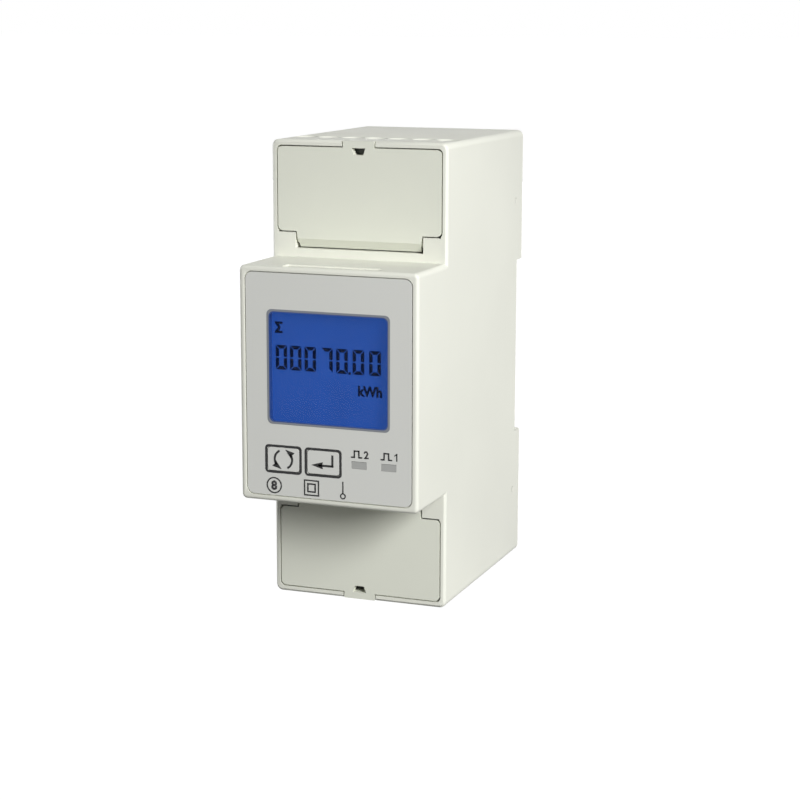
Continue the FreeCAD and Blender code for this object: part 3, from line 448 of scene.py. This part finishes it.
def add_shape(target, shape, x, z, turn=0.0):
    """A flat shape copied into another bmesh at x, z in mm, turned about its own centre."""
    move = Matrix.Translation((x * MM, 0, z * MM)) @ Matrix.Rotation(math.radians(turn), 4, "Y")
    bmesh.ops.transform(shape, matrix=move, verts=shape.verts)
    mesh = bpy.data.meshes.new("part")
    shape.to_mesh(mesh)
    shape.free()
    target.from_mesh(mesh)
    bpy.data.meshes.remove(mesh)


def rectangle(width, height, radius=0.0):
    """A flat rectangle with rounded corners, in mm."""
    shape = bmesh.new()
    bmesh.ops.create_grid(shape, x_segments=1, y_segments=1, size=0.5 * MM)
    bmesh.ops.scale(shape, vec=(width, height, 1), verts=shape.verts)
    bmesh.ops.rotate(shape, cent=(0, 0, 0), matrix=UPRIGHT, verts=shape.verts)
    if radius:
        bmesh.ops.bevel(shape, geom=shape.verts[:], offset=radius * MM, offset_type="OFFSET", segments=6,
                        profile=0.5, affect="VERTICES", material=-1)
    return shape


def hollow(shape, line):
    """Only the rim of a flat shape, line mm wide."""
    middle = shape.faces[:]
    bmesh.ops.inset_region(shape, faces=middle, thickness=line * MM, use_boundary=True,
                           use_even_offset=True)
    bmesh.ops.delete(shape, geom=middle, context="FACES_ONLY")
    return shape


def ring(outer, inner):
    """A flat frame between two rounded rectangles, each given by width, height and radius."""
    shape = rectangle(*outer)
    add_shape(shape, rectangle(*inner), 0, 0)
    bmesh.ops.delete(shape, geom=shape.faces[:], context="FACES_ONLY")
    bmesh.ops.bridge_loops(shape, edges=shape.edges[:])
    return shape


def disc(radius, steps=32):
    """A flat round face, in mm."""
    shape = bmesh.new()
    bmesh.ops.create_circle(shape, cap_ends=True, segments=steps, radius=radius * MM)
    bmesh.ops.rotate(shape, cent=(0, 0, 0), matrix=UPRIGHT, verts=shape.verts)
    return shape


def arc(radius, line, start, sweep):
    """A strip along a circle, from one angle over a sweep, counted from the right and upwards."""
    shape = bmesh.new()
    ends = [shape.verts.new((r * MM, 0, 0)) for r in (radius - line / 2, radius + line / 2)]
    edge = shape.edges.new(ends)
    bmesh.ops.rotate(shape, cent=(0, 0, 0), matrix=Matrix.Rotation(math.radians(-start), 3, "Y"),
                     verts=shape.verts)
    bmesh.ops.spin(shape, geom=ends + [edge], cent=(0, 0, 0), axis=(0, -1, 0),
                   angle=math.radians(sweep), steps=20)
    return shape


def outline(points):
    """A flat face through a few corners, in mm."""
    shape = bmesh.new()
    shape.faces.new([shape.verts.new((x * MM, 0, z * MM)) for x, z in points])
    return shape


def printed(name, shape, front, body, material, thick=INK_THICK):
    """The flat shape as ink that stands on a surface at y = front, in mm."""
    bmesh.ops.remove_doubles(shape, verts=shape.verts, dist=0.0005 * MM)
    made = bmesh.ops.extrude_face_region(shape, geom=shape.faces[:])
    raised = [item for item in made["geom"] if isinstance(item, bmesh.types.BMVert)]
    bmesh.ops.translate(shape, vec=(0, -thick * MM, 0), verts=raised)
    bmesh.ops.translate(shape, vec=(0, front * MM, 0), verts=shape.verts)
    bmesh.ops.recalc_face_normals(shape, faces=shape.faces)
    mesh = bpy.data.meshes.new(name)
    shape.to_mesh(mesh)
    shape.free()
    mesh.materials.append(material)
    obj = bpy.data.objects.new(name, mesh)
    bpy.context.scene.collection.objects.link(obj)
    return adopt(obj, body)


PLATE_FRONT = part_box("faceplate")[0].y / MM
print("the faceplate's front is at y =", round(PLATE_FRONT, 3), "mm")

# %% [markdown]
# Black frames with rounded corners run round the keys, over the gap beside each of them. The window
# has a thin grey frame with a dark blue line inside it, and its glass has dark blue edges, so that no
# pale wall shows beside the display. Each frame takes its place from its solid, so it stays round the
# key or the window if that moves.


# %% Frames round the keys and the window
def middle_of(node):
    """A solid's middle, across and up, in mm."""
    low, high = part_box(node)
    centre = (low + high) / 2
    return centre.x / MM, centre.z / MM


KEY_FRAME = (7.55, 5.5)
KEY_LINE = 0.46
KEY_CORNER = 0.75
for node in ("scroll_key", "enter_key"):
    sheet = bmesh.new()
    add_shape(sheet, hollow(rectangle(*KEY_FRAME, KEY_CORNER), KEY_LINE), *middle_of(node))
    printed(node + "_frame", sheet, PLATE_FRONT, "meter", INK)
window_low, window_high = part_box("display_window")
WINDOW = [(window_high[i] - window_low[i]) / MM for i in (0, 2)]
FRAME_ENDS = (0.2, -0.6, -1.0)
FRAME_CORNER = 1.0
LINING = 0.06
LINING_CORNER = 0.8
for name, outer, inner, ink in (("window_frame", FRAME_ENDS[0], FRAME_ENDS[1], GREY_INK),
                                ("window_edge", FRAME_ENDS[1], FRAME_ENDS[2], DARK_BLUE)):
    sheet = bmesh.new()
    edges = [(WINDOW[0] + grown, WINDOW[1] + grown, FRAME_CORNER) for grown in (outer, inner)]
    add_shape(sheet, ring(*edges), *middle_of("display_window"))
    printed(name, sheet, PLATE_FRONT, "meter", ink)
GLASS_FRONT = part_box("lcd_panel")[0].y / MM
edges = [(WINDOW[0] - line, WINDOW[1] - line, LINING_CORNER) for line in (LINING, 3 * LINING)]
sheet = bmesh.new()
add_shape(sheet, ring(*edges), *middle_of("display_window"))
printed("window_lining", sheet, GLASS_FRONT - LINING, "meter", DARK_BLUE,
        GLASS_FRONT - PLATE_FRONT - 2 * LINING)
print("frames round", KEY_FRAME, "and", [round(c, 2) for c in WINDOW])

# %% [markdown]
# The scroll key shows two arrows that chase each other round a circle, the enter key an arrow that
# turns left. The signs belong to the keys and move with them.


# %% Signs on the keys
SIGN_LINE = 0.42
HEAD_WIDTH = 1.35
HEAD_NOTCH = 0.93
SCROLL_RADIUS = 1.8
SCROLL_START, SCROLL_SWEEP = -64, 102
SCROLL_HEAD = 1.9
SCROLL_HEAD_REACH = 1.0
SCROLL_HEAD_TILT = 36
SCROLL_HEAD_PLACE = (1.2, 1.36)
ENTER_HEAD = 2.4
ENTER_TIP = (-2.45, -0.55)
ENTER_LYING = (3.1, 0.55)
ENTER_STANDING = (2.3, 2.1, 0.43)


def arrow_head(length, width):
    """A slim arrow head that points left, with its tip at the origin."""
    return outline([(0, 0), (length, width / 2), (length * HEAD_NOTCH, 0), (length, -width / 2)])


def scroll_sign():
    """Two arrows round a circle, each an arc with a head tilted along it."""
    x, z = middle_of("scroll_key")
    side, up = SCROLL_HEAD_PLACE
    tilt = Matrix.Rotation(math.radians(SCROLL_HEAD_TILT), 3, "Y")
    sheet = bmesh.new()
    for turn in (0, 180):
        add_shape(sheet, arc(SCROLL_RADIUS, SIGN_LINE, SCROLL_START, SCROLL_SWEEP), x, z, turn)
        head = arrow_head(SCROLL_HEAD, HEAD_WIDTH)
        bmesh.ops.translate(head, vec=(-SCROLL_HEAD_REACH * MM, 0, 0), verts=head.verts)
        bmesh.ops.rotate(head, cent=(0, 0, 0), matrix=tilt, verts=head.verts)
        bmesh.ops.translate(head, vec=(side * MM, 0, up * MM), verts=head.verts)
        add_shape(sheet, head, x, z, turn)
    return printed("scroll_key_sign", sheet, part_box("scroll_key")[0].y / MM, "scroll_key", INK)


def enter_sign():
    """An arrow to the left whose line turns up at its right end."""
    x, z = middle_of("enter_key")
    tip, row = ENTER_TIP
    length, middle = ENTER_LYING
    height, right, centre = ENTER_STANDING
    sheet = bmesh.new()
    add_shape(sheet, arrow_head(ENTER_HEAD, HEAD_WIDTH), x + tip, z + row)
    add_shape(sheet, rectangle(length, SIGN_LINE), x + middle, z + row)
    add_shape(sheet, rectangle(SIGN_LINE, height), x + right - SIGN_LINE / 2, z + centre)
    return printed("enter_key_sign", sheet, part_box("enter_key")[0].y / MM, "enter_key", INK)


for sign in (scroll_sign(), enter_sign()):
    print(sign.name, len(sign.data.polygons), "faces")


# %% [markdown]
# Below and beside the keys the faceplate carries ordinary signs: a numbered pulse over each light, a
# number in a ring, the square in a square that means double insulation, and a probe. Numbers come
# from the built-in plain font, turned into a mesh before they are placed.


# %% Signs on the faceplate
def written(words, height, squeeze=1.0, weight=0.012):
    """A word or number as a flat shape, its capitals height mm tall, centred on the origin."""
    curve = bpy.data.curves.new(words, "FONT")
    curve.body = words
    curve.resolution_u = 4
    curve.offset = weight
    holder = bpy.data.objects.new(words, curve)
    bpy.context.scene.collection.objects.link(holder)
    mesh = bpy.data.meshes.new_from_object(holder)
    bpy.data.objects.remove(holder)
    shape = bmesh.new()
    shape.from_mesh(mesh)
    bpy.data.meshes.remove(mesh)
    xs = [vert.co.x for vert in shape.verts]
    ys = [vert.co.y for vert in shape.verts]
    tall = max(ys) - min(ys)
    middle = ((max(xs) + min(xs)) / 2, (max(ys) + min(ys)) / 2)
    bmesh.ops.translate(shape, vec=(-middle[0], -middle[1], 0), verts=shape.verts)
    size = height * MM / tall
    bmesh.ops.scale(shape, vec=(size * squeeze, size, size), verts=shape.verts)
    bmesh.ops.rotate(shape, cent=(0, 0, 0), matrix=UPRIGHT, verts=shape.verts)
    return shape


PULSE_LINE = 0.28
PULSE = ((0.75, PULSE_LINE, -0.83, -0.6), (PULSE_LINE, 1.44, -0.5, 0), (1.1, PULSE_LINE, -0.05, 0.6),
         (PULSE_LINE, 1.44, 0.4, 0), (0.75, PULSE_LINE, 0.73, -0.6))


def pulse_sign(sheet, x, z):
    """One square pulse drawn as a line: low, up, high, down, low."""
    for width, height, side, up in PULSE:
        add_shape(sheet, rectangle(width, height), x + side, z + up)


def figure_one(height):
    """A plain 1 with a short flag."""
    top = height / 2
    return outline([(0.0, -top), (0.24, -top), (0.24, top), (0.06, top), (-0.36, top - 0.36),
                    (-0.36, top - 0.6), (0.0, top - 0.34)])


NUMBER_HEIGHT = 1.5
OVER_LIGHT = 2.1
PULSE_SIDE, NUMBER_SIDE = -0.4, 1.5
RING_PLACE = (-11.16, 25.64)
SQUARES_PLACE = (-3.45, 25.75)
PROBE_SIDE, PROBE_LINE = 2.95, 0.24
STEM_MIDDLE, BULB_MIDDLE = 26.3, 24.7
sheet = bmesh.new()
for number, light in ((figure_one(NUMBER_HEIGHT), "pulse_light_1"),
                      (written("2", NUMBER_HEIGHT, 1.0, 0.03), "pulse_light_2")):
    x, z = middle_of(light)
    pulse_sign(sheet, x + PULSE_SIDE, z + OVER_LIGHT)
    add_shape(sheet, number, x + NUMBER_SIDE, z + OVER_LIGHT)
add_shape(sheet, hollow(disc(1.6), 0.27), *RING_PLACE)
add_shape(sheet, written("8", 1.85, 1.0, 0.045), *RING_PLACE)
add_shape(sheet, hollow(rectangle(3.12, 3.12), 0.27), *SQUARES_PLACE)
add_shape(sheet, hollow(rectangle(1.8, 1.8), 0.3), *SQUARES_PLACE)
add_shape(sheet, rectangle(PROBE_LINE, 2.4), PROBE_SIDE, STEM_MIDDLE)
add_shape(sheet, hollow(disc(0.6, 20), PROBE_LINE), PROBE_SIDE, BULB_MIDDLE)
signs = printed("faceplate_signs", sheet, PLATE_FRONT, "meter", INK)
print(signs.name, len(signs.data.polygons), "faces")

# %% [markdown]
# ## What the display shows
# A segment display builds each digit from bars that meet at mitred corners, a small gap apart. The
# bars lie on the display glass, behind the window. Their places were read off as if they lay on the
# faceplate, so all of them are moved a little to the left and down for the depth between the two.

# %% Digits
BAR = 0.7
GAP = 0.1
INNER_CUT = 0.1
DIGIT = (2.35, 4.7)
BEHIND = (-0.74, -0.4)
READING = "0007000"
READING_SIDES = (-9.55, -6.61, -3.63, -0.25, 2.79, 6.1, 9.42)
READING_ROW = 50.45
POINT_PLACE = (4.34, 48.25)
UNIT_PLACE = (8.41, 45.05)
SUM_PLACE = (-10.05, 56.15)
SEGMENTS = {"0": "abcdef", "7": "abc"}


def bar(length, *corners):
    """A lying bar, outer side up, mitred at a corner and nearly flat where two bars follow on."""
    half = BAR / 2
    end = length / 2 - GAP
    sides = []
    for side, corner in zip((-1, 1), corners):
        if corner:
            tip = [(end + half, half), (end - half, -half)]
        else:
            tip = [(end, half), (end, 0), (end - INNER_CUT, -half)]
        sides.append([(side * x, z) for x, z in tip])
    return outline(sides[0] + sides[1][::-1])


def digit(sheet, figure, x, z):
    """A digit's bars, lettered clockwise from the top."""
    wide = (DIGIT[0] - BAR) / 2
    tall = (DIGIT[1] - BAR) / 4
    lying = (2 * wide, True, True)
    places = {"a": (0, 2 * tall, 0, lying), "b": (wide, tall, 90, (2 * tall, True, False)),
              "c": (wide, -tall, 90, (2 * tall, False, True)), "d": (0, -2 * tall, 180, lying),
              "e": (-wide, -tall, -90, (2 * tall, True, False)),
              "f": (-wide, tall, -90, (2 * tall, False, True))}
    for letter in SEGMENTS[figure]:
        side, up, turn, form = places[letter]
        add_shape(sheet, bar(*form), x + side, z + up, turn)


def sum_sign(width, height, line):
    """The sign for a total: two bars joined by a stroke that points right."""
    side, top = width / 2, height / 2
    half = [(-side, top), (side, top), (side, top - line), (line - side * 0.45, top - line),
            (side * 0.5, 0)]
    inner = [(-side, -top + line * 0.7), (-side * 0.2, 0), (-side, top - line * 0.7)]
    return outline(half + [(x, -z) for x, z in reversed(half[:-1])] + inner)


def behind(x, z):
    """A place read off on the faceplate, as a place on the display glass."""
    return x + BEHIND[0], z + BEHIND[1]


sheet = bmesh.new()
for figure, x in zip(READING, READING_SIDES):
    digit(sheet, figure, *behind(x, READING_ROW))
add_shape(sheet, rectangle(0.5, 0.5), *behind(*POINT_PLACE))
add_shape(sheet, written("kWh", 2.05, 0.92, 0.045), *behind(*UNIT_PLACE))
add_shape(sheet, sum_sign(1.6, 2.2, 0.44), *behind(*SUM_PLACE))
reading = printed("display_reading", sheet, GLASS_FRONT, "meter", SEGMENT, 0.02)
print(reading.name, len(reading.data.polygons), "faces")

# %% [markdown]
# ## Camera
# The camera stands where the photograph's was: its place, turn and lens were worked out from the
# corners of the housing.

# %% Camera
CAMERA_PLACE = (0.14172, -0.36663, 0.11424)
YAW, PITCH, ROLL = 20.80, 11.09, 0.11
SENSOR, FOCAL = 36.0, 89.4
lens = bpy.data.cameras.new("camera")
lens.sensor_width = SENSOR
lens.lens = FOCAL
lens.clip_start = 0.01
camera = bpy.data.objects.new("camera", lens)
camera.matrix_world = (Matrix.Translation(CAMERA_PLACE)
                       @ Matrix.Rotation(math.radians(YAW), 4, "Z")
                       @ Matrix.Rotation(math.radians(90 - PITCH), 4, "X")
                       @ Matrix.Rotation(math.radians(ROLL), 4, "Z"))
bpy.context.scene.collection.objects.link(camera)
bpy.context.scene.camera = camera
print("camera at", [round(c, 4) for c in camera.location])

# %% [markdown]
# ## Studio
# A pale floor, a white world and three large soft lamps. The world is bright only where the camera or
# a reflection looks at it. It lights the object at a plain level, more from the front than from above
# and behind. The key lamp stands at the right, in front and above: the side wall is brightest, and the
# nose shades the lower cover. The other lamps stand low and light the left and the back, for other
# views. The last one isn't mirrored in the top, which would look wet.


# %% Floor and world
def seen_by_camera(tree):
    """One where a camera, mirror or window ray arrives, else zero."""
    path = tree.nodes.new("ShaderNodeLightPath")
    either = math_node(tree, "MAXIMUM", path.outputs["Is Camera Ray"], path.outputs["Is Glossy Ray"])
    return math_node(tree, "MAXIMUM", either, path.outputs["Is Transmission Ray"])


FROM_FRONT = 0.22
FROM_BACK = 0.05
UP_AND_BACK = (0, 0.6, 0.8)
FLOOR_SIZE = 8.0
FLOOR_GREY = 0.1
FLOOR_GLOW = 0.96
world = bpy.data.worlds.new("studio")
world.use_nodes = True
bpy.context.scene.world = world
sky = world.node_tree.nodes["Background"]
sky.inputs["Color"].default_value = (1, 1, 1, 1)
way = world.node_tree.nodes.new("ShaderNodeTexCoord")
facing = world.node_tree.nodes.new("ShaderNodeVectorMath")
facing.operation = "DOT_PRODUCT"
facing.inputs[1].default_value = UP_AND_BACK
world.node_tree.links.new(way.outputs["Generated"], facing.inputs[0])
ambient = remap(world.node_tree, facing.outputs["Value"], FROM_FRONT, FROM_BACK, -0.5, 0.5)
world.node_tree.links.new(remap(world.node_tree, seen_by_camera(world.node_tree), ambient, 1.0),
                          sky.inputs["Strength"])

floor_material = bpy.data.materials.new("pale floor")
floor_material.use_nodes = True
floor_tree = floor_material.node_tree
floor_shader = floor_tree.nodes["Principled BSDF"]
floor_shader.inputs["Base Color"].default_value = (FLOOR_GREY, FLOOR_GREY, FLOOR_GREY, 1)
floor_shader.inputs["Roughness"].default_value = 0.9
floor_shader.inputs["Specular IOR Level"].default_value = 0.1
floor_shader.inputs["Emission Color"].default_value = (1, 1, 1, 1)
floor_tree.links.new(remap(floor_tree, seen_by_camera(floor_tree), 0.0, FLOOR_GLOW),
                     floor_shader.inputs["Emission Strength"])
slab = bmesh.new()
bmesh.ops.create_grid(slab, x_segments=1, y_segments=1, size=FLOOR_SIZE)
floor_mesh = bpy.data.meshes.new("floor")
slab.to_mesh(floor_mesh)
slab.free()
floor_mesh.materials.append(floor_material)
floor = bpy.data.objects.new("floor", floor_mesh)
bpy.context.scene.collection.objects.link(floor)
floor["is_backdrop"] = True
print("floor and world are ready")


# %% Lamps
AIM = Vector((0, 0, 0.045))


def lamp(name, size, power, place, mirrored=True):
    """A square lamp that faces the middle of the object: size in m, power in W."""
    light = bpy.data.lights.new(name, "AREA")
    light.shape = "SQUARE"
    light.size = size
    light.energy = power
    obj = bpy.data.objects.new(name, light)
    away = Vector(place) - AIM
    obj.matrix_world = Matrix.Translation(place) @ away.to_track_quat("Z", "Y").to_matrix().to_4x4()
    obj.visible_glossy = mirrored
    bpy.context.scene.collection.objects.link(obj)


lamp("key lamp", 0.42, 12.9, (0.745, -0.572, 0.45))
lamp("left lamp", 0.4, 4.8, (-0.87, 0.18, 0.10))
lamp("back lamp", 0.4, 4.8, (-0.27, 0.92, 0.10), mirrored=False)
bpy.context.scene.view_settings.view_transform = "Standard"
print("three lamps")

# %% [markdown]
# ## Measure and finish
# The dressed object should not stand out past its solids, so both boxes are measured and printed.

# %% Print both boxes and finish
bpy.context.view_layer.update()
boxes = {"cad": [list(corner) for corner in cad_box], "visual": [list(corner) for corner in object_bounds()]}
for name, box in boxes.items():
    print(name, "box in mm:", [[round(c / MM, 2) for c in corner] for corner in box])
